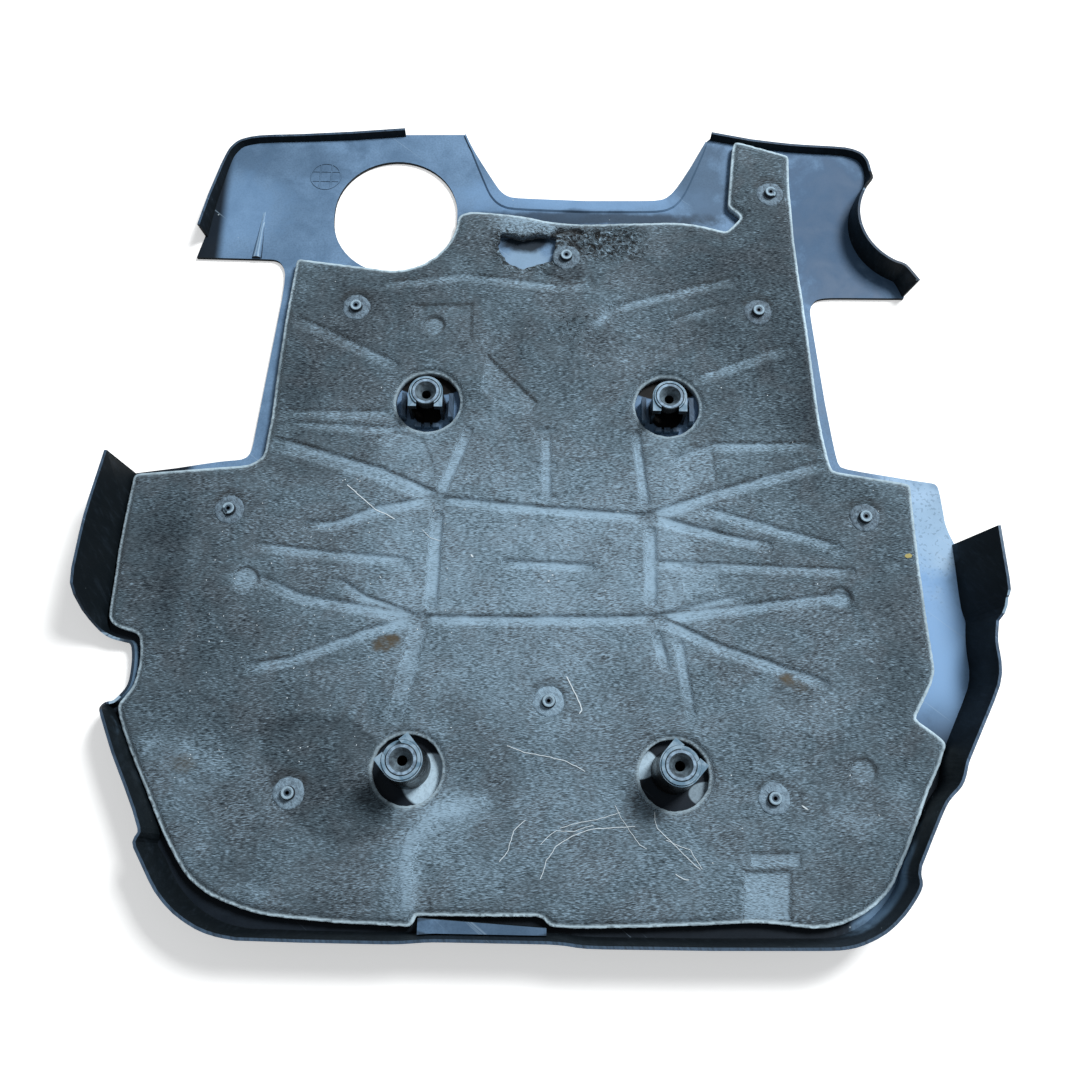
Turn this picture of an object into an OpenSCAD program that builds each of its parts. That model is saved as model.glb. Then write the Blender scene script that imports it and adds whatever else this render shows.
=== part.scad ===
// Engine cover lying on its show face: a moulded panel with an upturned skirt,
// an acoustic pad held by push-on retainers, and four rubber ball-stud grommets.
// X is to the right, Y runs from the deep front skirt to the two rear lobes.

/* [Panel] */
// Thickness of the moulded panel
panel_t = 3; // [2:0.5:5]
// Thickness of the skirt wall
wall_t = 2.2; // [1.8:0.2:4]
// Height of the front and side skirt above the show face
skirt_h = 40; // [30:1:50]
// Height of the two side flaps above the show face
flap_h = 52; // [42:1:65]
// Height of the wall round the quarter-round cut-out
arc_wall_h = 26; // [14:1:36]
// Height of the low walls round the lobes
lobe_wall_h = 10; // [7:1:16]
// Stretch of the whole panel to the right and left
panel_w = 714; // [680:2:780]
// Stretch of the whole panel from front to back
panel_d = 698; // [670:2:760]

/* [Openings] */
// Diameter of the filler hole
filler_d = 110; // [80:1:116]
// Lengthening of that hole from front to back
filler_long = 6.6; // [0:0.2:12]
// Radius of the quarter-round cut-out in the right lobe
arc_r = 54.5; // [48:0.5:58]
// Width of the stiffened band along the middle of the rear notch
band_w = 14; // [9:1:16]
// Rise of that band above the panel
band_rise = 1.4; // [1:0.2:3]

/* [Grommet holders] */
// Half the sideways spacing of the grommets
stud_dx = 100; // [90:1:110]
// Height of the front holders
front_stud_h = 50; // [40:1:60]
// Height of the rear holders
rear_stud_h = 31; // [26:1:40]
// Wall of a holder round the grommet's flange
holder_wall = 3.6; // [2.4:0.1:5]
// Wall of a rear holder round the flange
rear_wall = 2.3; // [1.8:0.1:4]
// Wall of the hollow below a holder's head
tower_wall = 2.4; // [1.6:0.1:3]
// Widening of a front tower from its head to its foot
tower_flare = 1.6; // [0.8:0.1:5]
// Wall left in front of the flange on the open side
mouth_wall = 1.6; // [1:0.1:3]

/* [Grommets] */
// Radius of the upper flange
flange_r = 11.4; // [10.5:0.1:12.2]
// Thickness of the upper flange
flange_t = 4; // [3:0.5:6]
// Radius of the waist
waist_r = 7; // [6.4:0.1:8]
// Height of the waist
waist_t = 3; // [2:0.5:4]
// Radius of the lower body
body_r = 9.8; // [9:0.1:10.4]
// Height of the lower body
body_t = 8; // [6:0.5:10]
// Radius at the mouth of the funnel
funnel_r = 8.8; // [8:0.1:9.4]
// Depth of the funnel
funnel_t = 7; // [5:0.5:8]
// Diameter of the ball-stud bore
stud_bore_d = 7.6; // [6:0.1:9]

/* [Acoustic pad] */
// Thickness of the pad
pad_t = 8.7; // [6:0.1:14]
// Diameter of the pad's holes round the front holders
front_hole_d = 53; // [51:1:60]
// Diameter of the pad's holes round the rear holders
rear_hole_d = 54; // [51:1:60]

/* [Pad retainers] */
// Radius of a retainer's disc
disc_r = 11.4; // [9:0.2:13]
// Thickness of a retainer's disc
disc_t = 1.2; // [0.8:0.1:2]
// Outer radius of a retainer's hub
hub_r = 4.9; // [4.2:0.1:6]
// Height of the hub above the disc
hub_h = 6.5; // [4:0.5:9]
// Diameter of the bore through a retainer
retainer_bore_d = 5.6; // [4.6:0.1:6.4]

/* [Fits] */
// Gap between the pad and the panel, and under each retainer
seat_gap = 0.2; // [0.1:0.1:0.4]
// Radial gap between a grommet and its holder
grommet_gap = 0.3; // [0.2:0.1:0.6]
// Radial gap between a retainer and its pin
pin_gap = 0.2; // [0.1:0.05:0.3]

/* [Hidden] */
$fn = 64;

// The outline is drawn on a 714 by 698 sheet, stretched to the driving sizes,
// and set so that the middle of the whole cover is at the origin
stretch_x = panel_w / 714;
stretch_y = panel_d / 698;
middle = [0.5, 4];

function at(p) = [(p[0] + middle[0]) * stretch_x, (p[1] + middle[1]) * stretch_y];

// Centre line of the grommets and of the middle of the panel
axis_x = 2;
front_stud_y = -228;
rear_stud_y = 71;
filler_at = [-137, 256];
arc_at = [325, 252.5];

// Quarter-round cut-out: its wall runs between these two angles
arc_from = 250;
arc_to = 153;
arc_steps = 12;

// Rim stations, anticlockwise from above: x, y, wall height, outward lean of the lip.
// A height of zero is a bare edge of the panel, and along the rear notch the fourth
// number is then the width of the band.
front_rim = [
    [-160, -348, skirt_h, 4], [-96, -348, skirt_h, 4], [-84, -347, skirt_h, 4],
    [-72, -346, skirt_h, 4], [8, -346, skirt_h, 4], [21, -346.5, skirt_h, 4],
    [34, -348.5, skirt_h, 4], [122, -348, skirt_h, 4], [205, -346.5, skirt_h, 4],
    [215, -345.5, skirt_h, 4], [225, -343, skirt_h, 4], [241, -335.5, skirt_h, 4],
    [254, -324, skirt_h, 4], [263, -312.5, skirt_h, 4], [267.5, -305, skirt_h, 4],
    [268.5, -299, skirt_h, 1.5]
];
right_rim = [
    [271, -293, skirt_h, 0.5], [280.5, -274, skirt_h, 0.5], [292, -251.5, skirt_h, 0.5],
    [296, -245, skirt_h, 1.5], [303, -236.5, skirt_h, 3], [305.5, -229, skirt_h, 4],
    [306.5, -220, skirt_h, 5.5], [309, -211.5, skirt_h, 7], [335, -159.5, skirt_h, 8],
    [337, -145.5, skirt_h, 7.5], [336, -131, skirt_h, 7], [337, -114, skirt_h, 9],
    [338, -106, skirt_h + 6, 13.5], [335, -98, flap_h, 18], [333.5, -43, flap_h, 17]
];
right_flank = [
    [330, -34, 0, 0], [327.5, -25, 0, 0], [327, -16, 0, 0], [325.5, 4, 0, 0],
    [323.5, 9.5, 0, 0], [305, 12, 0, 0], [248, 21, 0, 0], [243.5, 25, 0, 0], [240.5, 47, 0, 0],
    [236.5, 81, 0, 0], [230.5, 148, 0, 0], [229, 166, 0, 0], [229.5, 170.5, 0, 0],
    [231, 174.5, 0, 0], [234, 178.5, 0, 0], [237.5, 180.5, 0, 0], [246, 182, 0, 0],
    [312, 183, 0, 0]
];
right_arc = [
    [312.5, 185, arc_wall_h, 7],
    for (i = [0 : arc_steps])
        let (a = arc_from + (arc_to - arc_from) * i / arc_steps)
            [arc_at[0] + arc_r * cos(a), arc_at[1] + arc_r * sin(a), arc_wall_h, i == 0 ? 3 : 2],
    [282, 288, arc_wall_h - 4, 2]
];
right_lobe = [
    [288, 298, lobe_wall_h + 6, 3], [289.5, 309, lobe_wall_h, 2], [288, 319.5, lobe_wall_h, 2],
    [285.5, 324.5, lobe_wall_h, 2], [282, 328.5, lobe_wall_h, 2], [271, 333, lobe_wall_h, 2],
    [220, 335, lobe_wall_h, 2], [183.5, 339.5, lobe_wall_h, 2], [147.5, 346.5, lobe_wall_h, 2]
];
rear_notch = [
    [143, 342, 0, 2], [129.5, 315.5, 0, 8], [115, 290, 0, band_w - 2], [106, 280, 0, band_w],
    [97, 277, 0, band_w], [33, 275.5, 0, band_w], [-31, 277, 0, band_w], [-38, 279, 0, band_w],
    [-43, 283, 0, band_w - 1], [-47, 288, 0, band_w - 2], [-69.5, 326.5, 0, 5],
    [-78, 345.5, 0, 2]
];
left_lobe = [
    [-133, 344, lobe_wall_h, 2], [-180.5, 339, lobe_wall_h, 2], [-228, 336, lobe_wall_h - 1, 2],
    [-267, 334, lobe_wall_h - 1, 2], [-282, 329.5, lobe_wall_h - 1, 2],
    [-287, 323.5, lobe_wall_h, 2], [-291, 317, lobe_wall_h, 2], [-295, 299, lobe_wall_h + 2, 2],
    [-301, 265.5, lobe_wall_h + 6, 2], [-305, 231.5, lobe_wall_h + 11, 2]
];
left_flank = [
    [-310, 210, 0, 0], [-245.5, 209.5, 0, 0], [-240, 209, 0, 0], [-235, 206, 0, 0],
    [-230, 196, 0, 0], [-231, 169, 0, 0], [-241, 46, 0, 0], [-242, 32.5, 0, 0],
    [-243.5, 23.5, 0, 0], [-249, 18.5, 0, 0], [-266, 17, 0, 0], [-303, 10, 0, 0]
];
left_rim = [
    [-337.5, 4.5, flap_h, 5.5], [-341.5, -50, flap_h, 10], [-341.5, -105, flap_h, 13],
    [-342.5, -118, 33, 7.5], [-339, -130.5, 14, 2], [-331.5, -135, 11.5, 1.5],
    [-323, -137, 9, 1], [-319, -137.5, 9, 1], [-316, -140.5, 9, 1], [-314, -152, 9, 1],
    [-314, -168.5, 9, 1], [-316.5, -175, 9, 1], [-320.5, -180, 9, 1], [-324, -185, 11, 1],
    [-329, -186, 13, 1], [-329, -190.5, 22, 1], [-323, -196, skirt_h - 5, 1],
    [-308.5, -225, skirt_h - 4, 2], [-295.5, -249, skirt_h - 3, 2],
    [-287, -265, skirt_h - 2, 2], [-279.5, -281, skirt_h, 2], [-283, -287.5, skirt_h, 3],
    [-274, -300, skirt_h, 4], [-262.5, -318.5, skirt_h, 4], [-248.5, -332, skirt_h, 4],
    [-232, -341.5, skirt_h, 4], [-219, -345.5, skirt_h, 4], [-205, -347.5, skirt_h, 4]
];

// A drawn line is eased at each bend: a long curve where it turns gently and a
// short one at a corner
sharp_bend = 42;
slight_bend = 4;
curve_reach = 14;
corner_reach = 3.5;

function flat(p) = [p[0], p[1]];
function bend(u, v) = acos(max(-1, min(1, -(flat(u) * flat(v)) / (norm(flat(u)) * norm(flat(v))))));
function reach(u, turn) =
    min(turn > sharp_bend ? corner_reach : curve_reach, 0.4 * norm(flat(u))) / norm(flat(u));
function eased(line) = [
    line[0],
    for (i = [1 : len(line) - 2])
        let (
            p = line[i],
            u = line[i - 1] - p,
            v = line[i + 1] - p,
            turn = bend(u, v),
            a = reach(u, turn) * u,
            b = reach(v, turn) * v
        )
        each turn < slight_bend ? [p] : [p + a, p + (a + b) / 4, p + b],
    line[len(line) - 1]
];

right_run = eased(concat(front_rim, right_rim));
right_edge = eased(right_flank);
lobe_run = eased(concat(right_arc, right_lobe));
notch_edge = eased(rear_notch);
left_run = eased(left_lobe);
left_edge = eased(left_flank);
last_run = eased(left_rim);
rim = concat(right_run, right_edge, lobe_run, notch_edge, left_run, left_edge, last_run);

// Outline of the pad, anticlockwise from the middle of its front edge
pad_front = [
    [-39.5, -333.5], [5, -333], [10, -339.5], [32.5, -340.5], [94.5, -338], [128, -336],
    [159.5, -334], [176, -335], [200, -337.5], [214.5, -336], [230.5, -330.5], [246.5, -320.5],
    [258.5, -308.5], [264, -298], [273, -280.5], [282.5, -260], [292, -238], [303, -218],
    [308.5, -203], [299, -195], [286, -185.5], [296.5, -168], [305, -151], [304.5, -139.5],
    [303, -115.5], [301.5, -83], [300.5, -55.5], [300, -33], [299.5, 6], [237, 16], [234, 25],
    [229, 59], [223, 154], [219, 206], [217, 240], [216, 298], [217, 324], [185.5, 333.5],
    [171, 338], [168, 336.5], [166, 329], [163, 299], [160, 269], [172, 258], [158, 242],
    [136, 248], [114, 251], [26, 246.5], [-1, 249], [-15, 252.5], [-29, 255], [-52.5, 257],
    [-71.5, 258]
];
pad_back = [
    [-193.5, 203], [-219.5, 206], [-224, 147], [-226, 102], [-227, 57], [-230, 20], [-240, 11],
    [-263, 9], [-334, 1.5], [-336, -26.5], [-337.5, -59], [-337.5, -88.5], [-338, -115.5],
    [-336, -122], [-330, -126.5], [-314.5, -130.5], [-310.5, -135], [-308.5, -152],
    [-309.5, -165], [-311, -172], [-317, -181.5], [-320.5, -186], [-319.5, -194], [-308, -219],
    [-294.5, -243.5], [-281, -268.5], [-273, -282.5], [-262.5, -299], [-251.5, -312.5],
    [-235, -323.5], [-212.5, -331.5], [-193, -336], [-141, -340], [-88.5, -341.5],
    [-85.5, -334]
];
// The pad follows the filler hole between these two angles
hug_from = 0;
hug_to = -104;
hug_step = -8;
hug_gap = 1.6;
hug_r = filler_d / 2 + hug_gap;
pad_hug = [
    for (a = [hug_from : hug_step : hug_to])
        [filler_at[0] + hug_r * cos(a), filler_at[1] - filler_long / 2 + hug_r * sin(a)]
];
pad_outline = eased(concat(pad_front, pad_hug, pad_back));

// Places of the nine pad retainers
retainer_at = [
    [198, 282], [16, 213], [-164, 159], [182, 162], [-253, -28],
    [260, -24], [7, -178], [-185, -250], [176, -247]
];
// Retainers whose hub is chipped, and the side on which it is
chipped = [1, 5];
chip_turn = 200;

pad_z = panel_t + seat_gap;
pad_top = pad_z + pad_t;
disc_sink = 2.4;
disc_z = pad_top - disc_sink;
recess_z = disc_z - seat_gap;
recess_r = disc_r + 0.6;
hub_top = disc_z + disc_t + hub_h;
hub_foot = disc_z - 3;
sleeve_r = hub_r + 1;
pin_r = retainer_bore_d / 2 - pin_gap;
pin_top = hub_top - 2.5;
pin_core_r = pin_r / 2;
pin_floor = panel_t + 2;

front_studs = [[axis_x - stud_dx, front_stud_y], [axis_x + stud_dx, front_stud_y]];
rear_studs = [[axis_x - stud_dx, rear_stud_y], [axis_x + stud_dx, rear_stud_y]];
// Directions in which the four holders are open
front_left_open = 130;
front_right_open = 50;
rear_open = 270;

neck_half_w = waist_r + grommet_gap;
flange_seat_r = flange_r + grommet_gap;
slot_half_w = body_r + grommet_gap;
holder_r = flange_seat_r + holder_wall;
rear_r = flange_seat_r + rear_wall;
holder_front = flange_r + mouth_wall;
tower_foot_r = holder_r + tower_flare;
grommet_h = flange_t + waist_t + body_t;
chamber_r = holder_r - tower_wall;
rear_chamber_r = rear_r - tower_wall;
head_edge = 1.2;
// The front holes of the pad lie a little in front of the towers
front_hole_shift = -3;

// Ribs beside a rear holder and teeth on the panel in front of it
rib_t = 3.6;
rib_reach = 15;
rib_back = -6;
rib_side = rear_r + 5.6;
tooth_w = 5;
tooth_t = 3.4;
tooth_h = 6;
tooth_pitch = 7.4;
tooth_at = holder_front + 5.4;

// How deep a wall, a band or a block is rooted in the panel
root = 2;
root_z = panel_t - root;
foot_inset = 0.5;
block_top = 24;
band_slope = 3.4;
step_rise = 0.5;
ring_r = 14;
ring_w = 0.9;
ring_bar = 5;
ring_at = [-203, 297];
bead_from = [-257, 210];
bead_to = [-254.5, 260];
bead_foot_r = 4.6;
bead_tip_r = 1.4;
bead_z = 1.6;

panel_colour = "#2b3036";
pad_colour = "#4a4f52";
rubber_colour = "#1b1d1f";
retainer_colour = "#5d6870";

// Unit vector outward from the rim at station i, square to its own run at the end of a wall
function rim_edge(i) =
    let (n = len(rim), p = at(rim[i % n]), q = at(rim[(i + 1) % n]), d = q - p) [d[1], -d[0]] / norm(d);
function joined(i, k) =
    let (n = len(rim), a = rim[i][2], b = rim[(i + k + n) % n][2]) a == 0 || b > 0 ? 1 : 0;
function rim_out(i) =
    let (
        n = len(rim),
        s = joined(i, -1) * rim_edge((i + n - 1) % n) + joined(i, 1) * rim_edge(i)
    )
    s / norm(s);

// Four corners of the wall section at station i
function wall_ring(i) =
    let (
        s = rim[i % len(rim)],
        b = at(s),
        o = rim_out(i % len(rim)),
        foot_out = b - foot_inset * o,
        foot_in = b - (wall_t + foot_inset) * o,
        lip_out = b + s[3] * o,
        lip_in = b + (s[3] - wall_t) * o
    )
    [
        [foot_out[0], foot_out[1], root_z], [lip_out[0], lip_out[1], s[2]],
        [lip_in[0], lip_in[1], s[2]], [foot_in[0], foot_in[1], root_z]
    ];

// Four corners of the band's section at a station of the rear notch
function band_ring(i) =
    let (
        s = rim[i],
        b = at(s),
        o = rim_out(i),
        flat_in = b - max(s[3] - band_slope, band_slope / 2) * o,
        foot_in = b - s[3] * o
    )
    [
        [b[0], b[1], root_z], [b[0], b[1], panel_t + band_rise],
        [flat_in[0], flat_in[1], panel_t + band_rise], [foot_in[0], foot_in[1], root_z]
    ];

// A solid through four-cornered sections
module swept(rings) {
    count = len(rings);
    points = [for (r = rings) each r];
    sides = [
        for (k = [0 : count - 2])
            for (j = [0 : 3])
                let (a = 4 * k + j, b = 4 * k + (j + 1) % 4)
                    each [[a, b, b + 4], [a, b + 4, a + 4]]
    ];
    end = 4 * (count - 1);
    caps = [[3, 2, 1, 0], [end, end + 1, end + 2, end + 3]];
    polyhedron(points, concat(sides, caps), convexity = 6);
}

// A run of wall between two stations of the rim
module wall_run(first, last) {
    swept([for (i = [first : last]) wall_ring(i)]);
}

module panel_sheet() {
    linear_extrude(panel_t) polygon([for (s = rim) at(s)]);
}

// Raised band that stiffens the edge of the rear notch, sloping off on its inner side
module notch_band() {
    first = len(right_run) + len(right_edge) + len(lobe_run);
    swept([for (i = [first : first + len(notch_edge) - 1]) band_ring(i)]);
}

// Plain moulded ring with cross bars on the left lobe
module lobe_ring() {
    translate([at(ring_at)[0], at(ring_at)[1], root_z]) {
        difference() {
            cylinder(h = root + step_rise, r = ring_r);
            translate([0, 0, root]) cylinder(h = root, r = ring_r - ring_w);
        }
        for (side = [-1, 1], turn = [0, 90])
            rotate([0, 0, turn]) translate([1 - ring_r, side * ring_bar - ring_w / 2, 0])
                cube([2 * ring_r - 2, ring_w, root + step_rise]);
    }
}

// Tapered bead that runs in from the front edge of the left lobe
module lobe_bead() {
    run = at(bead_to) - at(bead_from);
    lean = atan2(run[0], run[1]);
    intersection() {
        translate([at(bead_from)[0], at(bead_from)[1] + 0.5, bead_z]) rotate([-90, 0, -lean])
            cylinder(h = norm(run), r1 = bead_foot_r, r2 = bead_tip_r);
        translate([at(bead_from)[0] - 10, at(bead_from)[1], root_z]) cube([30, norm(run) + 10, 10]);
    }
}

// Outline of a grommet holder, open towards +X
module holder_outline(r) {
    difference() {
        union() {
            circle(r = r);
            translate([0, -r]) square([holder_front, 2 * r]);
        }
        translate([holder_front, -r - 1]) square([r, 2 * r + 2]);
    }
}

// Head that grips a grommet: its ring stands a little above the ends of the open side
module holder_head(h, r) {
    low = flange_t - head_edge;
    translate([0, 0, h - flange_t]) difference() {
        union() {
            linear_extrude(low) holder_outline(r);
            cylinder(h = flange_t, r1 = r, r2 = r - head_edge);
        }
        translate([0, 0, -1]) cylinder(h = flange_t + 2, r = flange_seat_r);
        translate([0, -neck_half_w, -1]) cube([r, 2 * neck_half_w, flange_t + 2]);
    }
    translate([0, 0, h - flange_t - waist_t]) linear_extrude(waist_t) difference() {
        holder_outline(r);
        circle(r = neck_half_w);
        translate([0, -neck_half_w]) square([holder_front + 1, 2 * neck_half_w]);
    }
}

// Hollow conical tower on the panel, slotted on the side where the grommet goes in
module front_holder(p, turn) {
    head_z = front_stud_h - flange_t - waist_t;
    lap = 0.5;
    slot_z = head_z - body_t - 1;
    tower_h = head_z + lap - panel_t;
    color(panel_colour) translate([at(p)[0], at(p)[1], 0]) rotate([0, 0, turn]) {
        holder_head(front_stud_h, holder_r);
        difference() {
            translate([0, 0, panel_t]) cylinder(h = tower_h, r1 = tower_foot_r, r2 = holder_r - 0.4);
            translate([0, 0, panel_t - 1])
                cylinder(h = head_z - panel_t + 1, r1 = tower_foot_r - tower_wall, r2 = chamber_r);
            translate([0, 0, head_z - lap]) cylinder(h = 2 * lap + 1, r = neck_half_w);
            translate([0, -slot_half_w, slot_z]) cube([2 * tower_foot_r, 2 * slot_half_w, body_t + 1]);
        }
    }
}

// Box on the panel, open to the front, with a rib on each side and teeth in front
module rear_holder(p) {
    head_z = rear_stud_h - flange_t - waist_t;
    box_h = head_z - panel_t;
    color(panel_colour) translate([at(p)[0], at(p)[1], 0]) rotate([0, 0, rear_open]) {
        holder_head(rear_stud_h, rear_r);
        translate([0, 0, panel_t]) {
            linear_extrude(box_h) difference() {
                holder_outline(rear_r);
                circle(r = rear_chamber_r);
                translate([0, -rear_chamber_r]) square([holder_front + 1, 2 * rear_chamber_r]);
            }
        }
    }
}

// Ribs and teeth that stand on the panel round a rear holder
module rear_ribs(p) {
    rib_h = rear_stud_h - flange_t - waist_t - 10;
    translate([at(p)[0], at(p)[1], root_z]) rotate([0, 0, rear_open]) {
        for (side = [-1, 1])
            translate([rib_back, side * rib_side - rib_t / 2, 0]) cube([rib_reach - rib_back, rib_t, rib_h]);
        for (k = [-1 : 1])
            translate([tooth_at, k * tooth_pitch - tooth_w / 2, 0]) cube([tooth_t, tooth_w, root + tooth_h]);
    }
}

// Hollow pin that carries a pad retainer
module retainer_pin() {
    difference() {
        translate([0, 0, root_z]) cylinder(h = pin_top - root_z, r = pin_r);
        translate([0, 0, pin_floor]) cylinder(h = pin_top, r = pin_core_r);
    }
}

// Block that closes the channel at the set-back stretch of the front rim
module front_block() {
    block = [
        [-83, -335], [-83, -346], [-72, -345], [8, -345], [8, -340]
    ];
    translate([0, 0, root_z]) linear_extrude(block_top - root_z) polygon([for (p = block) at(p)]);
}

// Filler hole, a little longer from front to back than it is wide
module filler_hole() {
    translate([at(filler_at)[0], at(filler_at)[1], -1]) {
        for (side = [-1, 1])
            translate([0, side * filler_long / 2, 0]) cylinder(h = panel_t + 2, d = filler_d, $fn = 120);
        translate([-filler_d / 2, -filler_long / 2, 0]) cube([filler_d, filler_long, panel_t + 2]);
    }
}

module cover_shell() {
    run_a = len(right_run) - 1;
    run_b = len(right_run) + len(right_edge);
    run_c = run_b + len(lobe_run) + len(notch_edge);
    run_d = run_c + len(left_run) + len(left_edge);
    color(panel_colour) difference() {
        union() {
            panel_sheet();
            wall_run(0, run_a);
            wall_run(run_b, run_b + len(lobe_run) - 1);
            wall_run(run_c, run_c + len(left_run) - 1);
            wall_run(run_d, len(rim));
            notch_band();
            front_block();
            lobe_ring();
            lobe_bead();
            for (p = rear_studs) rear_ribs(p);
            for (p = retainer_at) translate(at(p)) retainer_pin();
        }
        filler_hole();
    }
}

module acoustic_pad() {
    color(pad_colour) difference() {
        translate([0, 0, pad_z]) linear_extrude(pad_t) polygon([for (p = pad_outline) at(p)]);
        for (p = front_studs)
            translate([at(p)[0], at(p)[1] + front_hole_shift, pad_z - 1])
                cylinder(h = pad_t + 2, d = front_hole_d);
        for (p = rear_studs)
            translate([at(p)[0], at(p)[1], pad_z - 1]) cylinder(h = pad_t + 2, d = rear_hole_d);
        for (p = retainer_at) {
            translate([at(p)[0], at(p)[1], pad_z - 1]) cylinder(h = pad_t + 2, r = sleeve_r);
            translate([at(p)[0], at(p)[1], recess_z]) cylinder(h = pad_t, r = recess_r);
        }
    }
}

// Rubber grommet: flange, waist and body with a funnel that leads to the stud bore
module grommet(p, h) {
    bore_r = stud_bore_d / 2;
    top = grommet_h;
    seat = body_t;
    slack = 0.1;
    shoulder = seat + waist_t + slack;
    edge = 0.6;
    color(rubber_colour) translate([at(p)[0], at(p)[1], h - grommet_h]) rotate_extrude() polygon([
        [bore_r, 0], [body_r - 1.5, 0], [body_r, 2], [body_r, seat - slack], [waist_r, seat - slack],
        [waist_r, shoulder], [flange_r, shoulder], [flange_r, top - edge], [flange_r - edge, top],
        [funnel_r, top], [bore_r, top - funnel_t]
    ]);
}

// Push-on retainer: a thin disc and a hub that grips the pin
module pad_retainer(n) {
    p = at(retainer_at[n - 1]);
    color(retainer_colour) translate([p[0], p[1], 0]) difference() {
        union() {
            translate([0, 0, disc_z]) cylinder(h = disc_t, r = disc_r);
            translate([0, 0, hub_foot]) cylinder(h = hub_top - hub_foot, r = hub_r);
        }
        translate([0, 0, hub_foot - 1]) cylinder(h = hub_top, d = retainer_bore_d);
        if (len(search(n, chipped)) > 0)
            rotate([0, 0, chip_turn]) translate([0, 0, hub_top - 3]) cube([2 * hub_r, hub_r, 4]);
    }
}

cover_shell();
acoustic_pad();
front_holder(front_studs[0], front_left_open);  // holder_front_left
front_holder(front_studs[1], front_right_open);  // holder_front_right
rear_holder(rear_studs[0]);  // holder_rear_left
rear_holder(rear_studs[1]);  // holder_rear_right
grommet(front_studs[0], front_stud_h);  // grommet_front_left
grommet(front_studs[1], front_stud_h);  // grommet_front_right
grommet(rear_studs[0], rear_stud_h);  // grommet_rear_left
grommet(rear_studs[1], rear_stud_h);  // grommet_rear_right
pad_retainer(1);  // pad_retainer_1
pad_retainer(2);  // pad_retainer_2
pad_retainer(3);  // pad_retainer_3
pad_retainer(4);  // pad_retainer_4
pad_retainer(5);  // pad_retainer_5
pad_retainer(6);  // pad_retainer_6
pad_retainer(7);  // pad_retainer_7
pad_retainer(8);  // pad_retainer_8
pad_retainer(9);  // pad_retainer_9
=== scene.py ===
import math
import bpy
import numpy as np
from mathutils import Matrix, Vector
from mathutils.geometry import delaunay_2d_cdt


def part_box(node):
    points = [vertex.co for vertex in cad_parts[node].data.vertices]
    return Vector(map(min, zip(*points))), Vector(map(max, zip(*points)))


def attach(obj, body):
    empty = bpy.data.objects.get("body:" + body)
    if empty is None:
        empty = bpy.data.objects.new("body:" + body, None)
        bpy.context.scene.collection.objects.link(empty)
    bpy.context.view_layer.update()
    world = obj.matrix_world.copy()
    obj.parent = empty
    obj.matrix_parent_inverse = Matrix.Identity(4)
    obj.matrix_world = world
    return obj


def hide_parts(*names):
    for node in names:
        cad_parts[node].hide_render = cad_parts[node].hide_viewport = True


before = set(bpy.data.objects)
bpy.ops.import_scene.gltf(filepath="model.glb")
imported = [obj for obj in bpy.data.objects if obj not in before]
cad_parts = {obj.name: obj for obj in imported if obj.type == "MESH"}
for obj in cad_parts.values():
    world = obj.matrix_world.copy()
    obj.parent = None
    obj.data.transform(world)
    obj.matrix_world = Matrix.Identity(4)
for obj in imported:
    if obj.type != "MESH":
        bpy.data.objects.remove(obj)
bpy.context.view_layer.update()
print("frame loaded")

scene = bpy.context.scene
mm = 0.001


def addObject(name, data):
    obj = bpy.data.objects.new(name, data)
    scene.collection.objects.link(obj)
    return obj


# camera: looks down on the open underside from above the front edge

view = {
    "place": (-0.0015, -0.3068, 0.8179),
    "tilt": 18.0,       # degrees from straight down
    "roll": 1.15,       # the cover lies a little turned in the picture
    "lens": 35.33,
}

tilt = math.radians(view["tilt"])
roll = math.radians(view["roll"])
forward = Vector((0, math.sin(tilt), -math.cos(tilt)))
upright = Vector((0, math.cos(tilt), math.sin(tilt)))
across = Vector((1, 0, 0))
camX = across * math.cos(roll) + upright * math.sin(roll)
camY = upright * math.cos(roll) - across * math.sin(roll)
camData = bpy.data.cameras.new("camera")
camData.lens = view["lens"]
camData.sensor_width = 36
camData.sensor_fit = "HORIZONTAL"
camData.clip_start = 0.05
camera = addObject("camera", camData)
camera.matrix_world = Matrix((
    (camX.x, camY.x, -forward.x, view["place"][0]),
    (camX.y, camY.y, -forward.y, view["place"][1]),
    (camX.z, camY.z, -forward.z, view["place"][2]),
    (0, 0, 0, 1),
))
scene.camera = camera
print("camera set")


# node helpers

def startMaterial(name):
    mat = bpy.data.materials.new(name)
    mat.use_nodes = True
    return mat, mat.node_tree, mat.node_tree.nodes["Principled BSDF"]


def node(tree, kind):
    return tree.nodes.new("ShaderNode" + kind)


def feed(tree, socket, value):
    if isinstance(value, bpy.types.NodeSocket):
        tree.links.new(value, socket)
    elif isinstance(value, tuple) and socket.type == "RGBA":
        socket.default_value = (*value, 1)
    else:
        socket.default_value = value


def noise(tree, where, scale, detail=4, rough=0.55, distort=0.0):
    tex = node(tree, "TexNoise")
    tex.inputs["Scale"].default_value = scale
    tex.inputs["Detail"].default_value = detail
    tex.inputs["Roughness"].default_value = rough
    tex.inputs["Distortion"].default_value = distort
    tree.links.new(where, tex.inputs["Vector"])
    return tex.outputs["Fac"]


def mapped(tree, spot, scale, turn=0.0):
    # object coordinates as seen from a spot, in units of the scale
    coord = node(tree, "TexCoord")
    place = node(tree, "Mapping")
    place.vector_type = "TEXTURE"
    place.inputs["Location"].default_value = spot
    place.inputs["Rotation"].default_value = (0, 0, turn)
    place.inputs["Scale"].default_value = scale
    tree.links.new(coord.outputs["Object"], place.inputs["Vector"])
    return place.outputs["Vector"]


def stretched(tree, scale, turn=0.0):
    return mapped(tree, (0, 0, 0), [1 / s for s in scale], turn)


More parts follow.
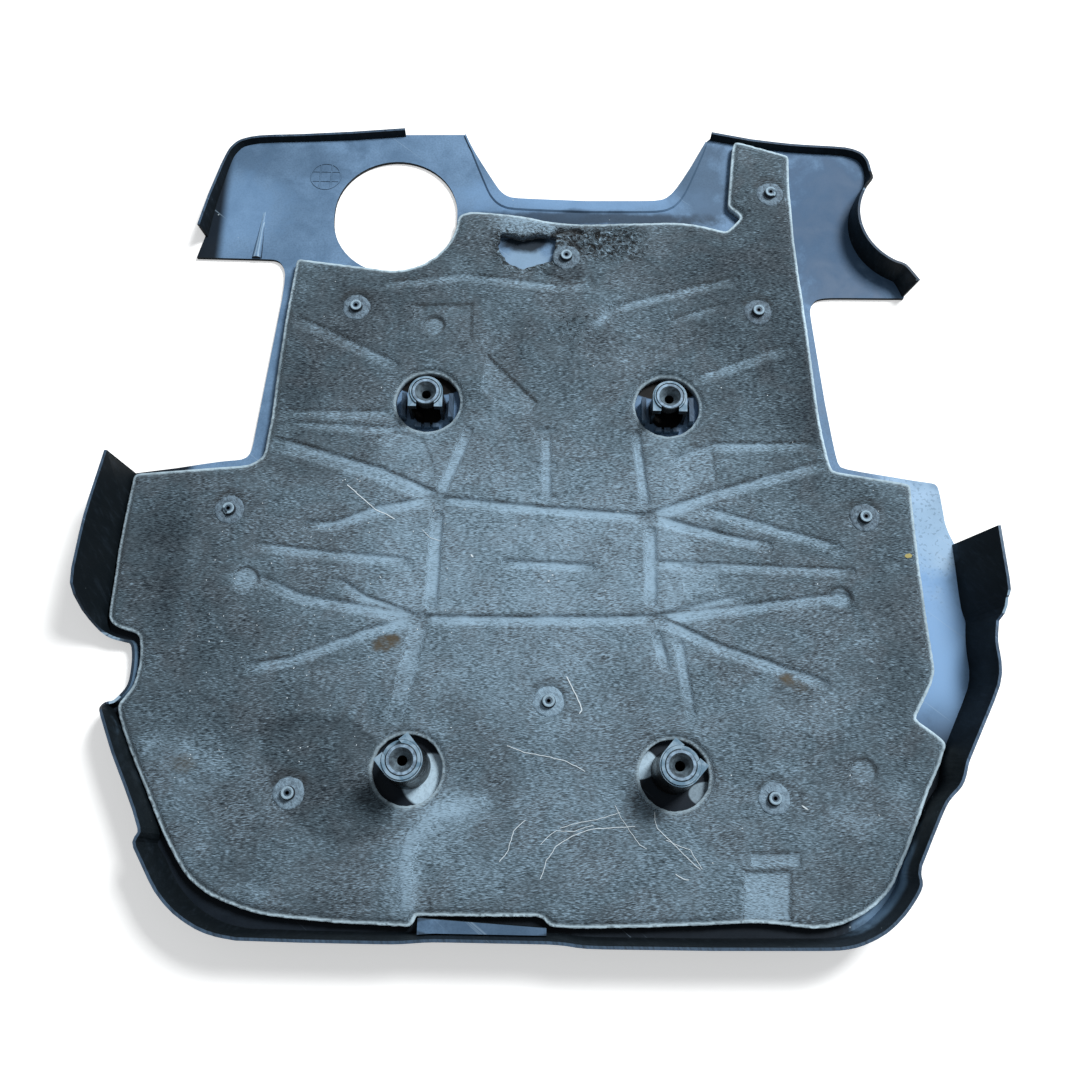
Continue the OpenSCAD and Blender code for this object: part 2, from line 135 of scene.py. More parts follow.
def spread(tree, value, low, high, outLow=0.0, outHigh=1.0, shape="SMOOTHSTEP"):
    span = node(tree, "MapRange")
    span.interpolation_type = shape
    feed(tree, span.inputs["Value"], value)
    span.inputs["From Min"].default_value = low
    span.inputs["From Max"].default_value = high
    span.inputs["To Min"].default_value = outLow
    span.inputs["To Max"].default_value = outHigh
    return span.outputs["Result"]


def mixed(tree, factor, first, second):
    mix = node(tree, "Mix")
    mix.data_type = "RGBA"
    feed(tree, mix.inputs["Factor"], factor)
    feed(tree, mix.inputs["A"], first)
    feed(tree, mix.inputs["B"], second)
    return mix.outputs["Result"]


def sums(tree, how, first, *others):
    # one value out of two or more, taken in turn
    for other in others:
        calc = node(tree, "Math")
        calc.operation = how
        feed(tree, calc.inputs[0], first)
        feed(tree, calc.inputs[1], other)
        first = calc.outputs[0]
    return first


def times(tree, *factors):
    return sums(tree, "MULTIPLY", *factors)


def surface(tree, shader, colour, rough, gloss=0.5):
    feed(tree, shader.inputs["Base Color"], colour)
    feed(tree, shader.inputs["Roughness"], rough)
    shader.inputs["Specular IOR Level"].default_value = gloss


def bumped(tree, shader, height, strength, distance, under=None):
    bump = node(tree, "Bump")
    bump.inputs["Strength"].default_value = strength
    bump.inputs["Distance"].default_value = distance
    tree.links.new(height, bump.inputs["Height"])
    if under is not None:
        tree.links.new(under, bump.inputs["Normal"])
    tree.links.new(bump.outputs["Normal"], shader.inputs["Normal"])
    return bump.outputs["Normal"]


def upwardness(tree):
    # Z of the true normal: 1 on a face that looks straight up
    split = node(tree, "SeparateXYZ")
    tree.links.new(node(tree, "NewGeometry").outputs["True Normal"], split.inputs[0])
    return split.outputs["Z"]


def easedEdges(tree, up, low, high):
    # the narrow rounded faces between a top and its walls
    return times(tree, spread(tree, up, low, high), spread(tree, up, 0.975, 0.95))


def painted(tree, name):
    attr = node(tree, "Attribute")
    attr.attribute_name = name
    return attr.outputs["Fac"]


def linear(r, g, b):
    return tuple(((c / 255 + 0.055) / 1.055) ** 2.4 if c > 10 else c / 255 / 12.92 for c in (r, g, b))


def colours(table):
    return {name: linear(*rgb) for name, rgb in table.items()}


# the nine retainers, far right first
retainerAt = [
    (198.5, 286), (16.5, 217), (-163.5, 163), (182.5, 166), (-252.5, -24),
    (260.5, -20), (7.5, -174), (-184.5, -246), (176.5, -243),
]
chippedRetainers = (0, 4)
retainerShade = (0.45, 0.4, 0.45, 0.35, 0.45, 0.4, 0.8, 0.6, 0.65)      # how pale each disc has gone


# moulded panel and skirt

panelLook = colours({
    "upward": (92, 121, 152),
    "upwardPale": (118, 150, 184),
    "upwardDark": (54, 74, 94),
    "plate": (132, 172, 216),
    "lobe": (61, 88, 118),
    "lip": (46, 58, 71),
    "wall": (15, 22, 27),
    "wallDusty": (40, 50, 60),
    "wallLit": (110, 140, 168),
    "edge": (154, 182, 204),
    "speckle": (72, 94, 118),
    "dust": (160, 190, 216),
    "paleDustLit": (188, 214, 232),
    "paintedShade": (5, 6, 8),
    "scratch": (165, 190, 212),
    "crumb": (190, 205, 215),
})

# patches on the panel: kind, x, y, half widths in millimetres, amount
panelPatches = [
    ("plate", 306, -110, 40, 110, 0.9),
    ("dust", 312, -22, 40, 42, 0.7),
    ("lobe", 262, 262, 84, 92, 0.85),
    ("upwardDark", -240, 318, 60, 22, 0.3),
    ("plate", -280, 262, 40, 40, 0.3),
    ("plate", 30, 284, 110, 18, 0.5),
    # painted shadow in the gap between the notch band and the pad
    ("paintedShade", 45, 262, 100, 7, 0.7),
    ("dust", -18, 214, 26, 14, 0.45),
    # painted shadow on the floor under the torn flap
    ("paintedShade", -20, 236, 28, 8, 0.9),
    ("upwardDark", 136, 304, 28, 40, 0.6),
    ("upwardDark", -22, -336, 52, 10, 0.45),
]

# pale dust and painted light on the floor round the front holders: x, y, half widths, amount
dustAndLightSpots = [(-80, -234, 22, 20, 1.0), (74, -218.5, 17, 12, 0.95), (128, -240, 14, 9, 0.5)]

# single places on the panel: x, y, half widths
spottedPlate = (314, -16, 34, 56)
frontBlock = (-37, -336.5, 50, 7)
frontCorner = (250, -296, 34, 44)
darkCorner = (286, 298, 13, 16)         # the sloped corner of the right lobe stays dark

holderX = (-97.5, 102.5)                # the rear holders stand at these two
pinTip = 3.6                            # radius of the pale mark on a hollow pin

# walls that stand in the light or are dusty: kind, x, y, half widths, amount
wallPatches = [
    ("wallLit", -309, -156, 12, 34, 0.85),
    ("wallDusty", 245, -316, 50, 40, 0.6),
    ("wallLit", 300, -40, 26, 50, 0.4),
    ("wallLit", -97, 62, 30, 22, 0.5),
    ("wallLit", 103, 62, 30, 22, 0.5),
]


def patch(tree, x, y, wide, deep, ragged=None):
    # 1 inside a soft-edged oval seen from above
    spot = mapped(tree, (x * mm, y * mm, 0), (wide * mm, deep * mm, 1000))
    far = node(tree, "VectorMath")
    far.operation = "LENGTH"
    tree.links.new(spot, far.inputs[0])
    reach = far.outputs["Value"]
    if ragged is None:
        return spread(tree, reach, 1.06, 0.94)
    return spread(tree, sums(tree, "ADD", reach, ragged), 1.4, 0.6)


def patched(tree, colour, patches, ragged):
    for kind, x, y, wide, deep, amount in patches:
        mask = times(tree, patch(tree, x, y, wide, deep, ragged), amount)
        colour = mixed(tree, mask, colour, panelLook[kind])
    return colour


def makePanelMaterial():
    mat, tree, shader = startMaterial("mouldedPanel")
    plain = stretched(tree, (1, 1, 1))
    rise = upwardness(tree)
    facing = spread(tree, rise, 0.35, 0.85)
    smudge = noise(tree, plain, 9, 5, 0.6, 0.6)
    patchy = noise(tree, plain, 34, 6, 0.62, 0.3)
    speckled = noise(tree, plain, 330, 4, 0.7, 0.4)
    fine = noise(tree, plain, 620, 3, 0.6)
    grain = noise(tree, plain, 2400, 2, 0.5)
    streak = noise(tree, stretched(tree, (9, 1, 1), 0.35), 55, 5, 0.7)
    ragged = spread(tree, patchy, 0.2, 0.8, -0.45, 0.45)
    dusty = spread(tree, sums(tree, "ADD", smudge, patchy), 0.75, 1.3)
    up = mixed(tree, dusty, panelLook["upward"], panelLook["upwardPale"])
    up = mixed(tree, spread(tree, fine, 0.35, 0.75, 0.0, 0.35), up, panelLook["speckle"])
    up = patched(tree, up, panelPatches, ragged)
    spots = spread(tree, noise(tree, plain, 420, 1, 0.3), 0.58, 0.68, 0.0, 0.3)
    blots = times(tree, spots, patch(tree, *spottedPlate, ragged))
    up = mixed(tree, blots, up, panelLook["upwardDark"])
    where = node(tree, "SeparateXYZ")
    tree.links.new(node(tree, "TexCoord").outputs["Object"], where.inputs[0])
    height = where.outputs["Z"]         # in metres, as are the bounds in the calls below
    low = spread(tree, height, 0.012, 0.008)
    # the floor beside the pad is painted dark along the front and left as painted shade in the gap, with
    # pale dust and painted light on it beside the front holders
    front = sums(tree, "MAXIMUM", spread(tree, where.outputs["Y"], -0.15, -0.21),
                 spread(tree, where.outputs["X"], -0.285, -0.295))
    gutterShade = times(tree, front, low, 0.94)
    up = mixed(tree, gutterShade, up, panelLook["paintedShade"])
    for x, y, wide, deep, amount in dustAndLightSpots:
        speckle = spread(tree, speckled, 0.3, 0.6, 0.75, 1.0)
        bright = times(tree, patch(tree, x, y, wide, deep), amount, speckle)
        up = mixed(tree, times(tree, bright, low), up, panelLook["paleDustLit"])
    for x in holderX:
        # shade under and behind a rear holder
        shade = sums(tree, "MAXIMUM", patch(tree, x, 74, 15, 17), patch(tree, x, 96, 30, 12))
        up = mixed(tree, times(tree, shade, low), up, panelLook["paintedShade"])
    for x, y in retainerAt:
        # pale top of the pin inside each retainer, a painted highlight, with painted shade in its hollow
        # core
        up = mixed(tree, patch(tree, x, y, pinTip, pinTip), up, panelLook["edge"])
        up = mixed(tree, patch(tree, x, y, pinTip / 2, pinTip / 2), up, panelLook["paintedShade"])
    lip = times(tree, spread(tree, height, 0.0075, 0.009), spread(tree, streak, 0.3, 0.6, 0.95, 0.65),
                sums(tree, "SUBTRACT", 1.0, patch(tree, *frontBlock)))
    up = mixed(tree, lip, up, panelLook["lip"])
    wall = mixed(tree, spread(tree, streak, 0.48, 0.75, 0.0, 0.5), panelLook["wall"], panelLook["wallDusty"])
    wall = patched(tree, wall, wallPatches, ragged)
    # up-facing faces take the pale dusty colours and walls the dark ones: dust on the tops, with painted
    # light on the tops and painted shade on the walls
    colour = mixed(tree, facing, wall, up)
    # the foot of the front right corner catches the light
    foot = times(tree, patch(tree, *frontCorner, ragged), spread(tree, height, 0.024, 0.014), 0.9)
    colour = mixed(tree, foot, colour, panelLook["wallLit"])
    # worn edges with a painted highlight: the narrow rounded faces are painted paler, as if they catch more
    # light
    corner = patch(tree, *darkCorner)
    wornEdgeHighlight = times(tree, easedEdges(tree, rise, 0.84, 0.90), spread(tree, patchy, 0.3, 0.6, 0.55, 1.0),
                   sums(tree, "SUBTRACT", 1.0, corner))
    colour = mixed(tree, wornEdgeHighlight, colour, panelLook["edge"])
    above = times(tree, corner, spread(tree, height, 0.008, 0.0095))
    colour = mixed(tree, above, colour, panelLook["wall"])
    scratchAt = noise(tree, stretched(tree, (260, 5, 5), 0.9), 1.6, 2, 0.4)
    marks = spread(tree, scratchAt, 0.70, 0.76, 0.0, 0.35)
    colour = mixed(tree, times(tree, marks, facing), colour, panelLook["scratch"])
    crumbs = spread(tree, noise(tree, plain, 300, 1, 0.3), 0.82, 0.86, 0.0, 0.6)
    colour = mixed(tree, crumbs, colour, panelLook["crumb"])
    surface(tree, shader, colour, spread(tree, patchy, 0.3, 0.7, 0.42, 0.62), 0.16)
    first = bumped(tree, shader, grain, 0.25, 0.0002)
    bumped(tree, shader, patchy, 0.12, 0.001, first)
    return mat


# holders: pale dust and painted light on top, glossy and dark down the tower with painted shade and painted
# reflections

holderLook = colours({
    "top": (104, 134, 156),
    "topPale": (146, 172, 192),
    "flank": (8, 10, 12),
    "flankPale": (58, 76, 88),
    "brown": (34, 29, 26),
    "wornEdgeHighlight": (176, 200, 216),
})


def makeHolderMaterial():
    mat, tree, shader = startMaterial("holderWornAndLit")
    plain = stretched(tree, (1, 1, 1))
    rise = upwardness(tree)
    facing = spread(tree, rise, 0.3, 0.8)
    patchy = noise(tree, plain, 120, 5, 0.6, 0.6)
    broad = noise(tree, plain, 45, 3, 0.5, 0.4)
    streak = noise(tree, stretched(tree, (3, 3, 0.6)), 60, 4, 0.6, 0.5)
    fine = noise(tree, plain, 1200, 3, 0.6)
    up = mixed(tree, spread(tree, patchy, 0.38, 0.62), holderLook["top"], holderLook["topPale"])
    # pale streaks down the dark tower: painted reflections on its glossy flank
    side = mixed(tree, spread(tree, streak, 0.56, 0.72), holderLook["flank"], holderLook["flankPale"])
    side = mixed(tree, spread(tree, broad, 0.5, 0.65, 0.0, 0.4), side, holderLook["brown"])
    # tops take the pale colours and the tower the dark ones: dust on the tops, with painted light on the
    # tops and painted shade down the tower
    colour = mixed(tree, facing, side, up)
    # painted highlight on the narrow rounded edges, with wear
    wornEdgeHighlight = times(tree, easedEdges(tree, rise, 0.60, 0.75), 0.8)
    colour = mixed(tree, wornEdgeHighlight, colour, holderLook["wornEdgeHighlight"])
    surface(tree, shader, colour, spread(tree, patchy, 0.3, 0.7, 0.26, 0.5), 0.24)
    first = bumped(tree, shader, fine, 0.15, 0.0002)
    bumped(tree, shader, streak, 0.25, 0.0008, first)
    return mat


# acoustic pad: pressed felt over foam, with channels, a torn spot and sealed rims

padLook = colours({
    "felt": (86, 103, 114),
    "feltWarm": (88, 100, 109),
    "feltDark": (29, 38, 46),
    "feltPale": (150, 178, 199),
    "rim": (198, 223, 238),
    "crease": (44, 45, 46),
    "stain": (82, 73, 57),
    "pit": (22, 24, 25),
    "lint": (215, 228, 236),
    "yellow": (172, 162, 106),
})

padShape = {
    "step": 2.9,           # mesh spacing on plain felt, in millimetres
    "fineStep": 1.45,      # spacing along channels, rims, retainers and torn foam
    "rimWidth": 1.5,
    "rimDrop": 2.2,
    "shoulder": 4.6,
    "foot": 3.3,
    "dimple": 10.2,        # height of the felt under a retainer's disc
    "dimpleRadius": 12.8,
    "sleeveRadius": 5.9,   # hole in the felt round a retainer's hub
    "bigHole": 1500,       # square millimetres: a smaller loop is a retainer's recess
    "holeEdge": 0.42,      # how pale the sealed edge of a round hole is
    "strayLift": 0.35,     # threads and flecks lie this high over the felt
}

# channels pressed into the felt: half width, depth, route in millimetres
padChannels = [
    (3.0, 2.2, [(-85, -12), (-63, 48)]),
    (5.0, 2.4, [(-85, -12), (-135, 10), (-219, 34)]),
    (3.2, 2.2, [(-85, -12), (-133, -22), (-166, -36), (-188, -37)]),
    (3.6, 2.3, [(-85, -26), (-86, -99)]),
    (2.8, 1.8, [(-109, -65), (-167, -61), (-227, -55)]),
    (2.6, 2.0, [(-94, -112), (-139, -96), (-158, -84)]),
    (3.2, 2.2, [(-94, -112), (-187, -97), (-221, -83)]),
    (3.2, 2.2, [(-94, -112), (-133, -123), (-191, -147), (-222, -152)]),
    (5.5, 1.3, [(-94, -112), (-108, -187)]),
    (2.6, 2.2, [(-85, -12), (-18, -18), (85, -24)]),
    (2.6, 2.2, [(-94, -112), (-16, -111), (91, -108)]),
    (2.4, 1.9, [(-29, -65), (39, -67)]),
    (2.6, 1.8, [(2, 50), (3, -11)]),
    (1.8, 1.6, [(-5, 50), (8, 50)]),
    (1.8, 1.6, [(-4, 19), (9, 19)]),
    (1.8, 1.6, [(-4, -9), (9, -9)]),
    (2.6, 2.2, [(76, 48), (83, -12)]),
    (3.4, 2.3, [(87, -36), (87, -93)]),
    (2.6, 1.9, [(91, -121), (97, -146)]),
    (2.6, 1.8, [(107, -123), (116, -181)]),
    (3.6, 2.4, [(85, -24), (142, -3), (227, 24)]),
    (3.0, 2.0, [(111, 26), (139, 39), (224, 41)]),
    (3.2, 2.2, [(85, -24), (151, -41), (180, -46)]),
    (3.0, 2.0, [(132, -17), (237, -47)]),
    (2.6, 1.8, [(90, -63), (246, -67)]),
    (2.6, 1.8, [(91, -108), (158, -89)]),
    (3.2, 2.2, [(91, -108), (239, -87)]),
    (3.2, 2.2, [(91, -108), (138, -130), (219, -157)]),
    (3.6, 1.8, [(-212, 148), (-128, 108)]),
    (3.0, 1.6, [(-224, 61), (-125, 62)]),
    (2.4, 1.5, [(-211, 52), (-116, 47)]),
    (3.6, 1.9, [(130, 100), (207, 131)]),
    (3.0, 1.8, [(60, 166), (164, 197)]),
    (2.4, 1.5, [(110, 155), (153, 171)]),
    (2.8, 1.8, [(36, 143), (59, 167)]),
    (2.8, 1.6, [(-143, 184), (-75, 194), (11, 186), (39, 189)]),
    (2.4, 1.6, [(-3, 198), (17, 190), (36, 195)]),
    (4.5, -1.2, [(-91, -323), (-95, -297), (-91, -276), (-74, -260), (-43, -251)]),
]

# where the channels meet
padKnots = [(-85, -12), (-94, -112), (85, -24), (91, -108)]

# round dents pressed into the felt: x, y, radius, depth
padDiscs = [
    (-233, -82, 9.5, 1.3), (236, -88, 9.0, 1.8), (244, -222, 9.4, 1.1), (-96, 147, 8.6, 1.9),
]

# flat-sided pockets: depth, paleness, outline
padPockets = [
    (1.3, 0.2, [(-115, 166), (-64, 168), (-63, 133), (-113, 132)]),
    (1.5, 0.4, [(-50, 120), (-6, 76), (-12, 64), (-27, 66), (-54, 86)]),
    (1.1, 0.6, [(157, -282), (194, -281), (193, -291), (157, -292)]),
    (1.3, 0.75, [(152, -295), (186, -294), (184, -328), (150, -328)]),
    (0.7, 0.25, [(-138, 42), (-119, 48), (-98, 40), (-88, 13), (-96, -6), (-134, 19)]),
    (0.8, 0.35, [(111, 34), (121, 40), (140, 39), (141, 8), (111, -2)]),
    (0.7, 0.3, [(111, -63), (142, -64), (141, -83), (112, -89)]),
]

# where the pad is torn and the panel shows through
tornSpot = [
    (-44, 231), (-41, 240), (-33, 240), (-25, 237), (-21, 236), (-15, 238), (-7, 240), (2, 239), (8, 238),
    (6, 223), (3, 212), (-8, 209), (-21, 204), (-32, 207), (-37, 214), (-43, 223),
]

# broad pale and dark areas of the felt: x, y, half widths, amount
padTone = [
    (0, -60, 130, 130, 0.55), (-30, -255, 90, 90, 0.25), (-268, -240, 45, 45, 0.22),
    (110, -300, 80, 80, 0.2), (230, -190, 90, 90, 0.16), (-150, 110, 70, 70, -0.12),
    (-270, -140, 60, 60, -0.22), (160, 205, 70, 70, -0.36), (-190, 150, 50, 50, -0.2),
    (190, 120, 60, 60, -0.24), (192, 260, 60, 60, -0.2), (-120, 200, 60, 60, -0.25),
    (250, -40, 50, 50, -0.1), (-208, 78, 34, 60, -0.32), (228, 80, 30, 60, -0.5),
    (-302, -52, 40, 60, -0.42), (278, -150, 22, 90, -0.35), (-10, 115, 60, 50, -0.2),
    (-36, -226, 32, 36, -0.35), (105, -75, 20, 62, 0.34), (-111, -72, 36, 62, 0.3),
    (-112, 44, 26, 20, 0.25), (104, 22, 16, 30, 0.25), (250, -215, 30, 30, -0.2),
    (-225, -196, 50, 20, -0.15), (20, 45, 60, 30, -0.15), (-76, -262, 26, 46, 0.22),
    (235, 180, 30, 60, -0.15), (-288, -209, 8, 7, 0.35), (-262, -216, 9, 6, 0.3),
    (-238, -227, 10, 6, 0.3), (-246, -288, 12, 10, 0.2), (-205, -317, 18, 6, 0.35),
    (240, -261, 14, 8, 0.28), (272, -240, 10, 14, 0.4), (225, -252, 8, 6, 0.25), (-275, -80, 9, 60, 0.16),
    (-292, -84, 8, 50, -0.16), (-257, -80, 8, 50, -0.08), (25, -262, 34, 14, 0.14),
]

# areas of the felt with a plain edge: x, y, half widths, amount
padShades = [(15.6, 200, 17, 13, -0.35), (-233, -82, 16, 12, 0.12), (-250, -232, 20, 16, 0.1)]

# a damp-looking patch beside the front left holder
padDamp = [
    (-209, -194), (-181, -187), (-146, -188), (-124, -203), (-109, -220), (-104, -249), (-111, -275),
    (-134, -283), (-164, -276), (-186, -258), (-199, -237), (-207, -216),
]

# stains: x, y, half length, half width, turn in degrees, amount
padStains = [
    (-119, -131, 11, 6.5, 20, 0.95), (-264, -226, 9, 7, 0, 0.4), (191, -153, 6, 4.5, -30, 0.9),
    (198, -158, 10, 5, -25, 0.35),
]

# threads and hairs caught on the felt: width, route
padLint = [
    (0.7, [(-159, -1), (-150, -9), (-135, -21), (-118, -30)]),
    (0.8, [(21, -155), (24, -160), (29, -170), (33, -180), (30, -184)]),
    (0.5, [(-23, -208), (-10, -213), (5, -215), (22, -219), (36, -226)]),
    (0.5, [(87, -254), (87, -260), (89, -266), (103, -279), (120, -295)]),
    (0.6, [(102, -298), (107, -301), (112, -302)]),
    (0.5, [(4, -303), (8, -290), (14, -281), (27, -272), (42, -267), (73, -265)]),
    (0.5, [(-26, -292), (-20, -283), (-17, -270), (-8, -262)]),
    (0.4, [(-96, -38), (-90, -44), (-80, -47)]),
    (0.4, [(17, -267), (32, -263), (51, -259), (62, -255)]),
    (0.4, [(58, -250), (63, -260), (76, -278), (82, -281)]),
    (0.4, [(95, -274), (113, -281), (121, -294)]),
    (0.4, [(3, -279), (14, -269), (28, -269), (43, -264)]),
]

# loose flecks: x, y, length, width, turn in degrees, kind (1 white, 0.5 yellow)
padFlecks = [
    (198.5, -249, 6, 1.2, -35, 1), (-55.3, -59.4, 3.2, 1.6, -50, 1), (292.5, -52, 6.5, 4, 10, 0.5),
    (61, -19, 2.2, 1.0, 0, 1), (6, -79, 2.0, 1.2, 10, 1), (9, -74, 1.6, 1.0, 0, 1), (7, -70, 1.4, 0.8, 0, 1),
]

# a gap in the foam beside the torn spot, sunk and painted dark as painted shade
padCrevice = [(4, 240), (12, 243), (22, 244), (30, 241)]


def topLoops(obj):
    # closed loops round the top face of a flat CAD piece, in millimetres
    mesh = obj.data
    top = max(v.co.z for v in mesh.vertices)
    count = {}
    for poly in mesh.polygons:
        if poly.normal.z > 0.9 and all(mesh.vertices[i].co.z > top - 1e-5 for i in poly.vertices):
            ring = list(poly.vertices)
            for a, b in zip(ring, ring[1:] + ring[:1]):
                pa, pb = (tuple(round(c / mm, 3) for c in mesh.vertices[i].co[:2]) for i in (a, b))
                count[(pa, pb)] = count.get((pa, pb), 0) + 1
    after = {a: b for (a, b) in count if (b, a) not in count}
    loops = []
    while after:
        start, here = next(iter(after.items()))
        loop = [start]
        while here != start and here in after:
            loop.append(here)
            here = after[here]
        for point in loop:
            after.pop(point, None)
        loops.append(np.array(loop))
    return loops


def loopArea(loop):
    x, y = loop.T
    return 0.5 * float(np.sum(x * np.roll(y, -1) - y * np.roll(x, -1)))


def evenly(loop, step):
    closed = np.vstack([loop, loop[:1]])
    lengths = np.hypot(*np.diff(closed, axis=0).T)
    total = lengths.sum()
    count = max(8, int(total / step))
    along = np.concatenate([[0], np.cumsum(lengths)])
    stops = np.linspace(0, total, count, endpoint=False)
    return np.column_stack([np.interp(stops, along, closed[:, k]) for k in (0, 1)])


def inside(points, loop):
    x, y = points.T
    result = np.zeros(len(points), dtype=bool)
    for (x0, y0), (x1, y1) in zip(loop, np.roll(loop, -1, axis=0)):
        if y0 == y1:
            continue
        hit = (y0 > y) != (y1 > y)
        result ^= hit & (x < (x1 - x0) * (y - y0) / (y1 - y0) + x0)
    return result


def onFelt(points, rings):
    # inside the outer ring and outside every other one
    keep = inside(points, rings[0])
    for ring in rings[1:]:
        keep &= ~inside(points, ring)
    return keep


def distanceTo(points, route, closed=False):
    route = np.asarray(route, dtype=float)
    ends = np.roll(route, -1, axis=0) if closed else route[1:]
    best = np.full(len(points), 1e9)
    for a, b in zip(route, ends):
        d = b - a
        t = np.clip(((points - a) @ d) / max(float(d @ d), 1e-9), 0, 1)
        best = np.minimum(best, np.hypot(*(points - a - t[:, None] * d).T))
    return best


def smooth(low, high, value):
    t = np.clip((value - low) / (high - low), 0, 1)
    return t * t * (3 - 2 * t)


def bell(away, wide, power=2):
    # 1 in the middle, fading to 0 past the width
    return np.exp(-(away / wide) ** power)


def oval(across, along, wide, deep, power=2):
    return np.exp(-((across / wide) ** power + (along / deep) ** power))


def within(points, outline):
    # distance to an outline, negative outside it
    loop = np.array(outline, dtype=float)
    return distanceTo(points, loop, True) * np.where(inside(points, loop), 1, -1)


def wavy(points, size, seed, layers=5):
    # gentle uneven ground made of crossing waves, about -1 to 1
    px, py = points.T
    rng = np.random.default_rng(seed)
    total = np.zeros(len(points))
    weight = 0
    for k in range(layers):
        for j in range(4):
            turn = rng.uniform(0, 2 * math.pi)
            length = size / (1.7 ** k) * rng.uniform(0.8, 1.25)
            wave = (px * math.cos(turn) + py * math.sin(turn)) * 2 * math.pi / length
            total += np.sin(wave + rng.uniform(0, 6.28)) / (1.5 ** k)
        weight += 2 / (1.5 ** k)
    return total / weight


def busy(points, rim):
    # where the felt needs the finer mesh
    px, py = points.T
    near = rim < 6.5
    for half, depth, route in padChannels:
        near |= np.abs(distanceTo(points, route) - half - 1) < 3.4
    for x, y in retainerAt:
        near |= np.hypot(px - x, py - y) < 15
    for x, y, radius, depth in padDiscs:
        near |= np.abs(np.hypot(px - x, py - y) - radius) < 3
    for depth, paleness, outline in padPockets:
        near |= distanceTo(points, outline, True) < 3
    # the torn spot with its crumbled foam, and the small pits
    near |= (np.abs(px - 20) < 75) & (np.abs(py - 228) < 26)
    near |= (np.abs(px - 27) < 16) & (np.abs(py - 147) < 20)
    return near


def sideOf(points, route):
    # distance to a route, and how far each point lies towards its upper right
    best = np.full(len(points), 1e9)
    lean = np.zeros(len(points))
    for a, b in zip(np.array(route[:-1], float), np.array(route[1:], float)):
        d = b - a
        t = np.clip(((points - a) @ d) / float(d @ d), 0, 1)
        off = points - a - t[:, None] * d
        away = np.hypot(*off.T)
        closer = away < best
        best = np.where(closer, away, best)
        lean = np.where(closer, (off @ np.array([0.45, 0.89])) / np.maximum(away, 0.2), lean)
    return best, lean


def paintOn(mesh, name, values):
    layer = mesh.attributes.new(name, "FLOAT", "POINT")
    layer.data.foreach_set("value", values)


def strayBits(places):
    # threads as narrow ribbons and flecks as small rounded plates: points, faces, kind
    verts, faces, kinds = [], [], []
    for width, route in padLint:
        path = np.array(route, float)
        along = np.concatenate([[0], np.cumsum(np.hypot(*np.diff(path, axis=0).T))])
        stops = np.arange(0, along[-1], 1.5)
        line = np.column_stack([np.interp(stops, along, path[:, k]) for k in (0, 1)])
        line += 0.5 * np.column_stack([wavy(line, 14, 61), wavy(line, 17, 62)])
        way = np.gradient(line, axis=0)
        side = np.column_stack([-way[:, 1], way[:, 0]]) / np.hypot(*way.T)[:, None] * width / 2
        start = len(verts)
        for p, q in zip(line + side, line - side):
            verts += [tuple(p), tuple(q)]
            kinds += [1.0, 1.0]
        for k in range(start, start + 2 * len(line) - 2, 2):
            faces.append((k + 1, k, k + 2, k + 3))
    rng = np.random.default_rng(31)
    flecks = list(padFlecks)
    for x, y in places:
        flecks.append((x, y, rng.uniform(0.8, 1.5), rng.uniform(0.5, 0.9), rng.uniform(0, 180), 1))
    for x, y, long, wide, turn, kind in flecks:
        start = len(verts)
        turn = math.radians(turn)
        for k in range(6):
            u = math.cos(k * math.pi / 3) * long / 2
            v = math.sin(k * math.pi / 3) * wide / 2
            verts.append((x + u * math.cos(turn) - v * math.sin(turn),
                          y + u * math.sin(turn) + v * math.cos(turn)))
            kinds.append(kind)
        faces.append(tuple(range(start, start + 6)))
    return np.array(verts), faces, np.array(kinds)


